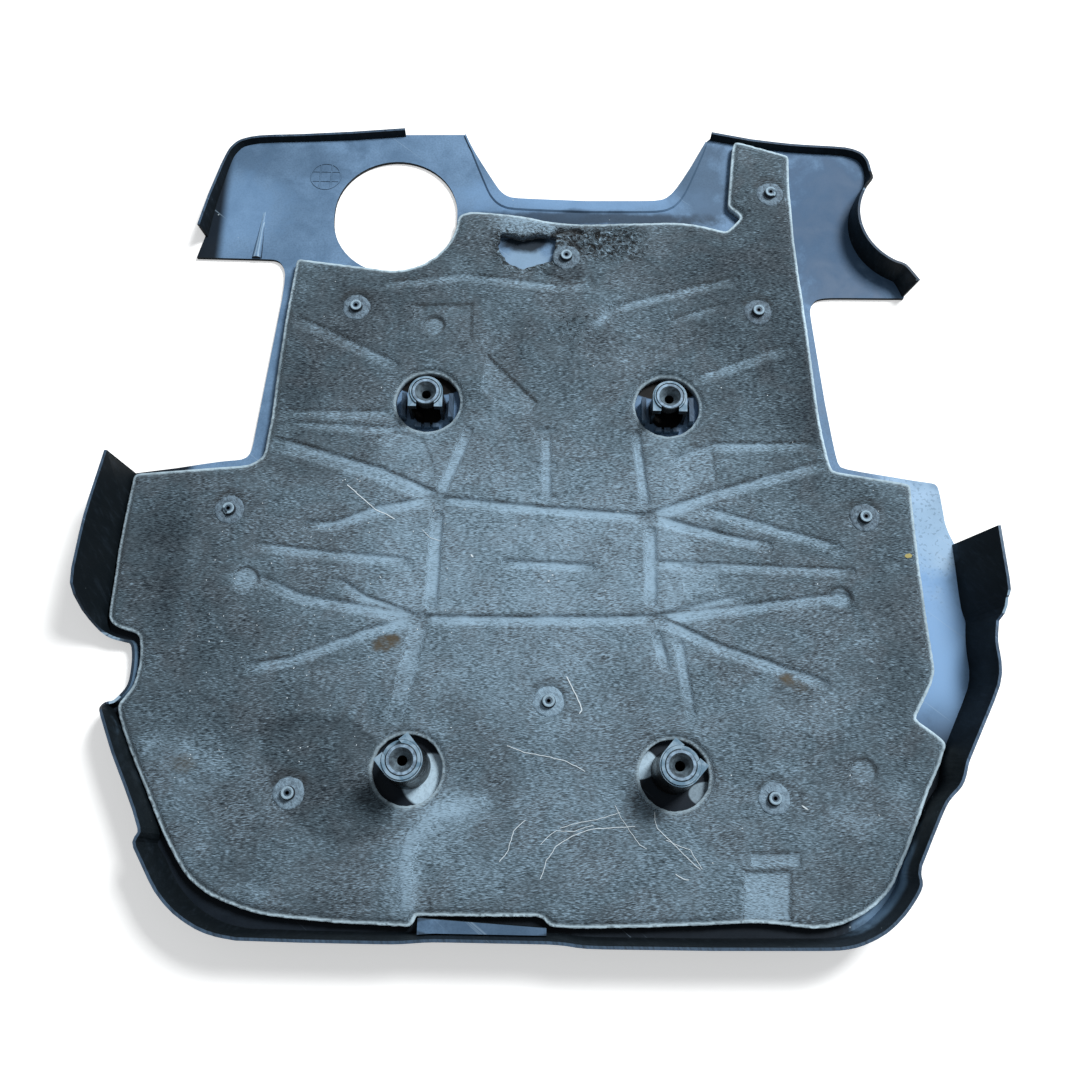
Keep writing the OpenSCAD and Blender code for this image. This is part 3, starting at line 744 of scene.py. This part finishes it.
def makePad():
    loops = topLoops(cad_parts["acoustic_pad"])
    loops.sort(key=lambda l: -abs(loopArea(l)))
    outer = loops[0] if loopArea(loops[0]) > 0 else loops[0][::-1]
    bigHoles = [l for l in loops[1:] if abs(loopArea(l)) > padShape["bigHole"]]
    step = padShape["fineStep"] * 1.25
    rng = np.random.default_rng(7)
    rings = [evenly(outer, step)]
    rings += [evenly(l, step) for l in bigHoles]
    rings.append(evenly(np.array(tornSpot, dtype=float), step))
    turns = np.linspace(0, 2 * math.pi, 24, endpoint=False)
    circle = np.column_stack([np.cos(turns), np.sin(turns)]) * padShape["sleeveRadius"]
    rings += [circle + np.array(p) for p in retainerAt]
    for i, ring in enumerate(rings[:len(bigHoles) + 2]):
        # the rims are a little uneven, and the torn one more so
        ragged = 0.35 if i <= len(bigHoles) else 1.1
        middle = ring.mean(axis=0)
        push = wavy(ring, 9, 40 + i)[:, None] * ragged
        away = ring - middle
        ring += push * away / np.maximum(np.hypot(*away.T), 1)[:, None]

    def scatter(gap):
        # uneven rows of points on the felt, each with its distance to the nearest rim
        low = outer.min(axis=0)
        high = outer.max(axis=0)
        xs = np.arange(low[0], high[0], gap)
        ys = np.arange(low[1], high[1], gap * 0.866)
        gridX, gridY = np.meshgrid(xs, ys)
        gridX = gridX + (np.arange(len(ys)) % 2)[:, None] * gap / 2
        found = np.column_stack([gridX.ravel(), gridY.ravel()])
        found += rng.uniform(-0.2, 0.2, found.shape) * gap
        found = found[onFelt(found, rings)]
        rim = distanceTo(found, rings[0], True)
        for ring in rings[1:]:
            rim = np.minimum(rim, distanceTo(found, ring, True))
        return found[rim > step * 0.4], rim[rim > step * 0.4]

    fine, fineRim = scatter(padShape["fineStep"])
    fine = fine[busy(fine, fineRim)]
    coarse, coarseRim = scatter(padShape["step"])
    coarse = coarse[~busy(coarse, coarseRim)]
    allPoints = np.vstack(rings + [fine, coarse])
    edges = []
    start = 0
    for ring in rings:
        n = len(ring)
        edges += [(start + k, start + (k + 1) % n) for k in range(n)]
        start += n

    def triangles(pts, kept):
        # on the felt only, all facing up
        found = delaunay_2d_cdt([Vector(p) for p in pts.tolist()], kept, [], 0, 1e-6)
        verts = np.array([tuple(v) for v in found[0]])
        tris = np.array([tuple(f) for f in found[2]])
        tris = tris[onFelt(verts[tris].mean(axis=1), rings)]
        a, b, c = (verts[tris[:, k]] for k in range(3))
        (bx, by), (cx, cy) = (b - a).T, (c - a).T
        turned = bx * cy - by * cx
        tris[turned < 0] = tris[turned < 0][:, ::-1]
        return verts, tris

    verts, tris = triangles(allPoints, edges)
    flatVerts, flatTris = triangles(allPoints[:start], edges)
    print("pad mesh", len(verts), "points", len(tris), "triangles")
    heights, paint = padHeights(verts, rings, len(bigHoles))
    # the felt on top, a flat underside, and a wall where an edge has one triangle
    top = np.column_stack([verts, heights])
    bottom = np.column_stack([flatVerts, np.full(len(flatVerts), padShape["foot"])])
    faces = tris.tolist()
    base = len(top)
    faces += (flatTris[:, ::-1] + base).tolist()
    edgeUse = dict.fromkeys(pair for t in tris.tolist() for pair in zip(t, t[1:] + t[:1]))
    lookup = {tuple(np.round(p, 3)): i for i, p in enumerate(flatVerts.tolist())}
    for a, b in edgeUse:
        if (b, a) in edgeUse:
            continue
        ia = lookup.get(tuple(np.round(verts[a], 3)))
        ib = lookup.get(tuple(np.round(verts[b], 3)))
        if ia is not None and ib is not None:
            faces.append([b, a, base + ia, base + ib])
    # lint, most of it on the left half
    dust = rng.uniform((-270, -230), (-60, 10), (70, 2))
    dust = np.vstack([dust, rng.uniform((-300, -300), (280, 190), (60, 2))])
    bits, bitFaces, bitKinds = strayBits(dust[onFelt(dust, rings)])
    bitHeights, bitPaint = padHeights(bits, rings, len(bigHoles))
    stray = np.column_stack([bits, bitHeights + padShape["strayLift"]])
    base += len(bottom)
    faces += [tuple(base + i for i in face) for face in bitFaces]
    mesh = bpy.data.meshes.new("acousticPad")
    mesh.from_pydata((np.vstack([top, bottom, stray]) * mm).tolist(), [], faces)
    mesh.validate()
    paint["lint"] = np.zeros(len(top))
    bitPaint["lint"] = bitKinds
    for name, values in paint.items():
        full = np.concatenate([values, np.zeros(len(bottom)), bitPaint[name]])
        paintOn(mesh, name, full.astype(np.float32))
    mesh.polygons.foreach_set("use_smooth", [True] * len(mesh.polygons))
    mesh.update()
    return addObject("acousticPad", mesh)


def padHeights(points, rings, holeCount):
    # height of the felt in millimetres, and what its material is painted with
    low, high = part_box("acoustic_pad")
    crown = high[2] / mm
    px, py = points.T
    outerRim = distanceTo(points, rings[0], True)
    rim = outerRim.copy()
    for ring in rings[1:holeCount + 1]:
        rim = np.minimum(rim, distanceTo(points, ring, True))
    torn = distanceTo(points, rings[holeCount + 1], True)
    height = crown + 0.75 * wavy(points, 95, 1) + 0.3 * wavy(points, 24, 2) + 0.12 * wavy(points, 8, 3)
    groove = np.zeros(len(points))
    knot = np.full(len(points), 99.0)
    for x, y in padKnots:
        knot = np.minimum(knot, np.hypot(px - x, py - y))
    crease = np.zeros(len(points))
    tone = np.zeros(len(points))
    pressed = np.zeros(len(points))
    for half, depth, route in padChannels:
        wide = half + 1.3
        away, lean = sideOf(points, route)
        away = away + 0.45 * wavy(points, 22, 5)
        cut = bell(away, wide, 6)
        pressed = np.maximum(pressed, depth * cut)
        if depth > 0:
            tips = np.minimum(*(np.hypot(*(points - np.array(route[k])).T) for k in (0, -1)))
            tips = smooth(-2.0, 13.0, tips)
            # pale floor of each channel: pressed felt with a painted sheen, a little paler on its
            # upper-right half
            pale = smooth(wide + 2.0, wide - 2.4, away) * (0.8 + 0.2 * lean) * tips
            groove = np.maximum(groove, pale * min(1.0, depth / 2.1))
            # painted shadow: a dark line along the upper-right wall of each channel
            line = bell(away - wide + 0.1, 1.15) * smooth(0.25, 0.85, lean) * tips
            fade = np.clip(0.66 + 0.5 * wavy(points, 46, 37, 2), 0.25, 1)
            crease = np.maximum(crease, line * fade * depth / 2.2)
        else:
            height -= depth * cut
            tone += 0.6 * bell(away, 9)
    height -= pressed
    groove *= smooth(4.0, 12.0, knot)
    # channel shadow lines fade where channels meet, and a little painted shade lies in the dent there
    crease = np.maximum(crease * smooth(2.0, 7.0, knot), 0.12 * bell(knot, 6, 4))
    height -= 0.7 * bell(knot, 7, 4)
    for x, y, radius, depth in padDiscs:
        away = np.hypot(px - x, py - y)
        height -= depth * smooth(radius + 2, radius - 1, away)
        height += 0.5 * bell(away - radius - 2.4, 1.6)
        # painted shadow along the upper-right wall of each dent, and pale pressed felt inside
        upper = smooth(-0.2, 0.6, (px - x) * 0.4 / radius + (py - y) * 0.9 / radius)
        crease = np.maximum(crease, 0.7 * bell(away - radius, 1.2) * upper)
        groove = np.maximum(groove, 0.42 * depth * smooth(radius, radius - 2, away))
    for depth, paleness, outline in padPockets:
        away = within(points, outline)
        height -= depth * smooth(-1.5, 2.0, away)
        # painted shadow along the pocket's upper-right wall, and pale pressed felt inside
        lean = sideOf(points, outline + outline[:1])[1] * np.where(away > 0, -1, 1)
        crease = np.maximum(crease, 0.75 * bell(away, 1.4) * smooth(-0.2, 0.7, lean) * depth / 1.3)
        groove = np.maximum(groove, paleness * smooth(-0.5, 1.5, away))
    # crumbled foam round the torn spot, and a fuzzy flap over it
    crumble = bell(torn, 7)
    height -= crumble * (0.8 + 1.6 * np.abs(wavy(points, 7, 11)))
    gapAway = distanceTo(points, padCrevice) + 0.5 * wavy(points, 8, 43)
    crevice = bell(gapAway, 1.9)
    height -= 2.6 * crevice
    flap = oval(px + 20, py - 248, 26, 9, 4)
    height += flap * (0.5 + 0.5 * wavy(points, 6, 47))
    loose = oval(px - 46, py - 231, 38, 17, 4)
    height += loose * (1.1 * wavy(points, 7, 13, 4) - 0.8)
    tone -= 0.2 * loose
    pits = oval(px - 27, py - 147, 16, 17)
    height -= pits * 2.2 * smooth(0.35, 0.8, wavy(points, 8, 17))
    shoulder = smooth(padShape["rimWidth"] + padShape["shoulder"], padShape["rimWidth"] - 0.5, rim)
    height = height * (1 - shoulder) + (crown - padShape["rimDrop"]) * shoulder
    for x, y in retainerAt:
        away = np.hypot(px - x, py - y) + 0.5 * wavy(points, 7, 19)
        height -= 1.3 * bell(away, 19, 4)
        sunk = smooth(padShape["dimpleRadius"] + 0.6, padShape["dimpleRadius"] - 1.2, away)
        height = height * (1 - sunk) + np.minimum(height, padShape["dimple"]) * sunk
        # painted shadow along the upper side of each retainer's dimple
        behind = np.hypot(px - x, py - y - 3.0)
        crease = np.maximum(crease, 0.55 * bell(behind - 12.5, 2.6) * (py > y + 6))
    # the sealed edge: pale, with a painted highlight that makes it wider and brighter along the front,
    # patchy elsewhere, faint round the holes
    front = smooth(-170, -280, py)
    edgeWide = padShape["rimWidth"] + 0.4 * front
    edgeBand = smooth(edgeWide + 1.0, edgeWide - 0.5, rim + 0.3 * wavy(points, 14, 23))
    outerEdge = np.clip(0.8 + 0.4 * front + 0.25 * wavy(points, 110, 71, 2), 0.45, 1)
    edgeBand *= np.where(outerRim > rim, padShape["holeEdge"], outerEdge)
    for x, y, wide, deep, amount in padTone:
        tone += amount * oval(px - x, py - y, wide, deep)
    for x, y, wide, deep, amount in padShades:
        away = np.hypot((px - x) / wide, (py - y) / deep) + 0.06 * wavy(points, 26, 59)
        tone += amount * smooth(1.08, 0.92, away)
    tone -= 0.34 * smooth(-1.4, 1.4, within(points, padDamp) + 0.9 * wavy(points, 20, 67))
    tone += 0.14 * wavy(points, 60, 29) - 0.12
    stain = np.zeros(len(points))
    for x, y, long, wide, turn, amount in padStains:
        turn = math.radians(turn)
        u = (px - x) * math.cos(turn) + (py - y) * math.sin(turn)
        v = (py - y) * math.cos(turn) - (px - x) * math.sin(turn)
        away = np.hypot(u / long, v / wide) + 0.25 * wavy(points, 9, 53)
        stain = np.maximum(stain, amount * smooth(1.25, 0.7, away))
    # painted shade in the gap in the foam
    crease = np.maximum(crease, crevice)
    tone += 0.75 * flap
    pits *= smooth(0.1, 0.5, wavy(points, 8, 17))
    rough = np.clip(0.7 * crumble + loose + pits, 0, 1)
    return height, {"edgeBand": edgeBand, "groove": np.clip(groove, 0, 1), "crease": np.clip(crease, 0, 1),
                    "tone": tone, "stain": stain, "crumble": rough}


def makePadMaterial():
    mat, tree, shader = startMaterial("pressedFelt")
    plain = stretched(tree, (1, 1, 1))
    # fibres in three directions, mixed in soft areas
    lying, rising, falling = (noise(tree, stretched(tree, (0.17, 1, 1), turn), scale, 2, 0.5, 0.2)
                              for turn, scale in ((0.02, 1800), (0.13, 1750), (-0.09, 1850)))
    soft = noise(tree, stretched(tree, (0.35, 1, 1), 0.1), 420, 2, 0.5, 0.3)
    clump = noise(tree, plain, 130, 4, 0.6, 0.4)
    cloud = noise(tree, plain, 20, 4, 0.6, 0.5)
    swirl = noise(tree, plain, 26, 3, 0.5, 0.8)
    worms = noise(tree, stretched(tree, (0.7, 1, 1), -0.3), 230, 3, 0.6, 1.4)
    fibre = mixed(tree, spread(tree, swirl, 0.42, 0.58), lying, rising)
    fibre = mixed(tree, spread(tree, cloud, 0.5, 0.62), fibre, falling)
    crumble = painted(tree, "crumble")
    wormy = times(tree, crumble, spread(tree, worms, 0.3, 0.7, -0.9, 0.9))
    # the groove paint (pressed felt and painted sheen) lightens the tone
    tone = sums(tree, "ADD", painted(tree, "tone"), spread(tree, cloud, 0.3, 0.7, -0.08, 0.08),
                spread(tree, clump, 0.3, 0.7, -0.04, 0.04),
                spread(tree, fibre, 0.2, 0.8, -1.35, 1.35, "LINEAR"),
                spread(tree, soft, 0.3, 0.7, -0.05, 0.05, "LINEAR"),
                times(tree, painted(tree, "groove"), 0.74), wormy)
    felt = mixed(tree, spread(tree, swirl, 0.4, 0.62), padLook["felt"], padLook["feltWarm"])
    colour = mixed(tree, spread(tree, tone, 0.0, -1.0, shape="LINEAR"), felt, padLook["feltDark"])
    colour = mixed(tree, spread(tree, tone, 0.0, 1.0, shape="LINEAR"), colour, padLook["feltPale"])
    # painted shadow: the dark crease paint along channels, dents, pockets, retainer dimples and the foam gap
    dark = times(tree, painted(tree, "crease"), spread(tree, fibre, 0.3, 0.7, 1.1, 0.6))
    colour = mixed(tree, dark, colour, padLook["crease"])
    stain = times(tree, painted(tree, "stain"), spread(tree, clump, 0.3, 0.6, 0.6, 1.0))
    colour = mixed(tree, stain, colour, padLook["stain"])
    # dark pits in the crumbled foam: painted shade in its hollows
    pits = times(tree, crumble, spread(tree, worms, 0.46, 0.38))
    colour = mixed(tree, pits, colour, padLook["pit"])
    # the pale sealed edge, with its painted highlight along the front
    rim = times(tree, painted(tree, "edgeBand"), spread(tree, clump, 0.25, 0.55, 0.75, 1.0))
    colour = mixed(tree, rim, colour, padLook["rim"])
    lint = painted(tree, "lint")
    colour = mixed(tree, spread(tree, lint, 0.2, 0.45), colour, padLook["yellow"])
    colour = mixed(tree, spread(tree, lint, 0.55, 0.9), colour, padLook["lint"])
    surface(tree, shader, colour, 0.92, 0.2)
    shader.inputs["Sheen Weight"].default_value = 0.1
    first = bumped(tree, shader, fibre, 0.35, 0.0005)
    second = bumped(tree, shader, clump, 0.25, 0.0014, first)
    bumped(tree, shader, wormy, 0.8, 0.002, second)
    return mat


# push-on retainers: a felted disc with a hub

retainerLook = {
    "disc": linear(84, 100, 114),
    "discPale": linear(156, 186, 208),
    "discDark": linear(58, 70, 80),
    "hubSide": linear(30, 40, 50),
    "hubTop": linear(152, 178, 196),
    "radius": 12.0,
    "hubRadius": 4.9,
    "boreRadius": 2.64,
    "discTop": 10.9,       # height over the floor
    "hubRise": 4.2,        # of the hub over the disc
    "chipDepth": 2.6,
    "rimWaves": ((3, 0.25), (5, 0.2), (9, 0.16), (17, 0.12)),       # waves round the disc, size of each
    "topWaves": ((7, 0.22), (11, 0.2), (19, 0.18), (26, 0.12)),
}


def makeRetainer(number, place, chipped):
    low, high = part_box("pad_retainer_%d" % number)
    top = high[2] / mm
    rng = np.random.default_rng(100 + number)
    around = 72
    turns = np.linspace(0, 2 * math.pi, around, endpoint=False)
    lobes = sum(np.sin(turns * k + rng.uniform(0, 6.28)) * a for k, a in retainerLook["rimWaves"])
    crease = sum(np.sin(turns * k + rng.uniform(0, 6.28)) * a for k, a in retainerLook["topWaves"])
    discTop = retainerLook["discTop"]
    top = min(top, discTop + retainerLook["hubRise"])       # the hubs are pressed low into the felt
    hub = retainerLook["hubRadius"]
    bore = retainerLook["boreRadius"]
    reach = retainerLook["radius"]
    # rings of the profile: radius, height, share of the ragged rim, share of the creased top
    profile = [
        (bore, 6.6, 0, 0), (hub, 6.6, 0, 0), (hub, 9.5, 0, 0), (reach - 0.6, 9.5, 1, 0),
        (reach, 9.9, 1, 0.3), (reach - 0.1, 10.45, 1, 0.6), (reach - 1.2, discTop - 0.05, 1, 1),
        (reach - 3, discTop + 0.15, 0.4, 1), (hub + 2.2, discTop + 0.2, 0, 0.8),
        (hub + 0.9, discTop + 0.3, 0, 0.3), (hub + 0.2, discTop + 0.7, 0, 0),
        (hub - 0.15, top - 1.4, 0, 0), (hub + 0.05, top - 0.7, 0, 0), (hub - 0.25, top - 0.05, 0, 0),
        (hub - 0.8, top, 0, 0), (bore + 0.1, top - 0.1, 0, 0), (bore, top - 0.4, 0, 0),
    ]
    hubRings = (13, 14, 15)             # the rings on top of the hub
    gap = (rng.uniform(0, 6.28), 0.55) if chipped else None     # middle and half width of the chip
    verts = []
    for radius, height, ragged, creased in profile:
        for i, turn in enumerate(turns):
            r = radius + ragged * lobes[i]
            h = height + creased * crease[i] * 0.6
            if gap and radius < hub + 0.5 and height > discTop + 0.6:
                off = abs((turn - gap[0] + math.pi) % (2 * math.pi) - math.pi)
                h -= retainerLook["chipDepth"] * float(smooth(gap[1] + 0.25, gap[1] - 0.1, np.array(off)))
            x = place[0] + r * math.cos(turn)
            y = place[1] + r * math.sin(turn)
            verts.append((x * mm, y * mm, h * mm))
    faces = []
    rows = len(profile)
    for j in range(rows):
        here = j * around
        above = (j + 1) % rows * around
        for i in range(around):
            after = (i + 1) % around
            faces.append((here + i, here + after, above + after, above + i))
    mesh = bpy.data.meshes.new("retainer%d" % number)
    mesh.from_pydata(verts, [], faces)
    mesh.polygons.foreach_set("use_smooth", [True] * len(mesh.polygons))
    paintOn(mesh, "hubPart", [
        0.0 if p[1] <= discTop + 0.35 else (1.0 if k in hubRings else 0.5)
        for k, p in enumerate(profile) for i in range(around)])
    paintOn(mesh, "shade", [retainerShade[number - 1]] * len(verts))
    return addObject("retainer%d" % number, mesh)


def makeRetainerMaterial():
    mat, tree, shader = startMaterial("dustyRetainerPaintedLight")
    plain = stretched(tree, (1, 1, 1))
    fibre = noise(tree, plain, 900, 4, 0.65, 0.8)
    clump = noise(tree, plain, 260, 4, 0.6, 0.5)
    tone = sums(tree, "ADD", spread(tree, fibre, 0.25, 0.75), spread(tree, clump, 0.25, 0.75))
    tone = sums(tree, "ADD", spread(tree, tone, 0.3, 1.7, -0.28, 0.28, "LINEAR"), painted(tree, "shade"))
    colour = mixed(tree, spread(tree, tone, 0.0, 0.4), retainerLook["discDark"], retainerLook["disc"])
    colour = mixed(tree, spread(tree, tone, 0.3, 1.1, shape="LINEAR"), colour, retainerLook["discPale"])
    hub = painted(tree, "hubPart")
    # the hub's sides take a dark colour as painted shade and its top rings a pale one as a painted highlight
    colour = mixed(tree, spread(tree, hub, 0.1, 0.4), colour, retainerLook["hubSide"])
    colour = mixed(tree, spread(tree, hub, 0.65, 0.95), colour, retainerLook["hubTop"])
    surface(tree, shader, colour, 0.8)
    first = bumped(tree, shader, fibre, 0.7, 0.0008)
    bumped(tree, shader, clump, 0.6, 0.0012, first)
    return mat


# rubber grommets

rubberLook = colours({
    "flange": (150, 178, 202),
    "flangeDark": (98, 120, 140),
    "funnel": (98, 116, 128),
    "funnelDark": (56, 67, 76),
    "deep": (8, 9, 10),         # steep walls of the bore and the neck
})


def makeRubberMaterial():
    mat, tree, shader = startMaterial("dustyRubberPaintedShade")
    plain = stretched(tree, (1, 1, 1))
    rise = upwardness(tree)
    flat = spread(tree, rise, 0.8, 0.97)
    clump = noise(tree, plain, 240, 5, 0.6, 0.4)
    fine = noise(tree, plain, 1600, 3, 0.6)
    ring = mixed(tree, spread(tree, clump, 0.35, 0.65), rubberLook["flangeDark"], rubberLook["flange"])
    sides = mixed(tree, spread(tree, clump, 0.35, 0.65), rubberLook["funnelDark"], rubberLook["funnel"])
    # steep walls of the bore and the neck go near black: the rubber's own dark with painted shade
    steep = spread(tree, rise, 0.22, 0.08)
    sides = mixed(tree, steep, sides, rubberLook["deep"])
    surface(tree, shader, mixed(tree, flat, sides, ring), spread(tree, clump, 0.3, 0.7, 0.6, 0.8))
    bumped(tree, shader, fine, 0.2, 0.0003)
    return mat


# build and dress the pieces

panelMat = makePanelMaterial()
holderMat = makeHolderMaterial()
padMat = makePadMaterial()
retainerMat = makeRetainerMaterial()
rubberMat = makeRubberMaterial()


# how the name of a node starts: its material and bevel in millimetres
dressing = {
    "cover_shell": (panelMat, 0.6),
    "holder": (holderMat, 0.6),
    "grommet": (rubberMat, 0.4),
}


def dress(obj, mat, bevel):
    obj.data.materials.clear()
    obj.data.materials.append(mat)
    soften = obj.modifiers.new("edges", "BEVEL")
    soften.width = bevel * mm
    soften.segments = 2
    soften.limit_method = "ANGLE"
    soften.angle_limit = math.radians(35)
    soften.harden_normals = False


for name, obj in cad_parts.items():
    for start, (mat, bevel) in dressing.items():
        if name.startswith(start):
            dress(obj, mat, bevel)
print("panel, holders and grommets dressed")

pad = makePad()
pad.data.materials.append(padMat)
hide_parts("acoustic_pad")
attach(pad, "root")
print("pad made")

for i, place in enumerate(retainerAt):
    piece = makeRetainer(i + 1, place, i in chippedRetainers)
    piece.data.materials.append(retainerMat)
    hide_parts("pad_retainer_%d" % (i + 1))
    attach(piece, "root")
print("retainers made")


# floor, lamp and world

studio = {
    "floor": (0.93, 0.93, 0.93),
    "floorLift": 0.45,          # lifts the floor to white for the camera, under the shadow too
    "floorReach": 6.0,
    "floorDrop": 0.0004,        # keeps the floor just under the lowest faces
    "key": 150.0,
    "keyPlace": (1.7, 1.7, 2.8),
    "keySize": 1.1,
    "keyColour": (0.985, 1.0, 1.0),
    "fill": 0.26,
    "fillColour": (0.93, 0.97, 1.0),
}


def forCamera(tree, seen, others):
    # one shader for the camera's own rays and another for the rest
    path = node(tree, "LightPath")
    blend = node(tree, "MixShader")
    tree.links.new(path.outputs["Is Camera Ray"], blend.inputs[0])
    tree.links.new(others.outputs[0], blend.inputs[1])
    tree.links.new(seen.outputs[0], blend.inputs[2])
    return blend.outputs[0]


floorMesh = bpy.data.meshes.new("floor")
reach = studio["floorReach"]
corners = [(-reach, -reach, 0), (reach, -reach, 0), (reach, reach, 0), (-reach, reach, 0)]
floorMesh.from_pydata(corners, [], [(0, 1, 2, 3)])
floor = addObject("floor", floorMesh)
floor.location.z = -studio["floorDrop"]
floorMat, tree, shader = startMaterial("paleFloor")
surface(tree, shader, studio["floor"], 0.9, 0.1)
glow = node(tree, "Emission")
glow.inputs["Strength"].default_value = studio["floorLift"]
dark = node(tree, "Emission")
dark.inputs["Strength"].default_value = 0.0
both = node(tree, "AddShader")
tree.links.new(shader.outputs[0], both.inputs[0])
tree.links.new(forCamera(tree, glow, dark), both.inputs[1])
tree.links.new(both.outputs[0], tree.nodes["Material Output"].inputs["Surface"])
floorMesh.materials.append(floorMat)

# one area lamp, aimed at the middle of the cover
lamp = bpy.data.lights.new("keyLamp", "AREA")
lamp.energy = studio["key"]
lamp.size = studio["keySize"]
lamp.color = studio["keyColour"]
keyLamp = addObject("keyLamp", lamp)
keyLamp.location = studio["keyPlace"]
keyLamp.rotation_euler = (-Vector(studio["keyPlace"])).to_track_quat("-Z", "Y").to_euler()

# an even world light, seen by the camera as white
world = bpy.data.worlds.new("studio")
world.use_nodes = True
scene.world = world
tree = world.node_tree
back = tree.nodes["Background"]
back.inputs["Color"].default_value = (*studio["fillColour"], 1)
back.inputs["Strength"].default_value = studio["fill"]
seen = node(tree, "Background")
seen.inputs["Color"].default_value = (1, 1, 1, 1)
seen.inputs["Strength"].default_value = 1.0
tree.links.new(forCamera(tree, seen, back), tree.nodes["World Output"].inputs["Surface"])
scene.view_settings.view_transform = "Standard"
print("studio set")
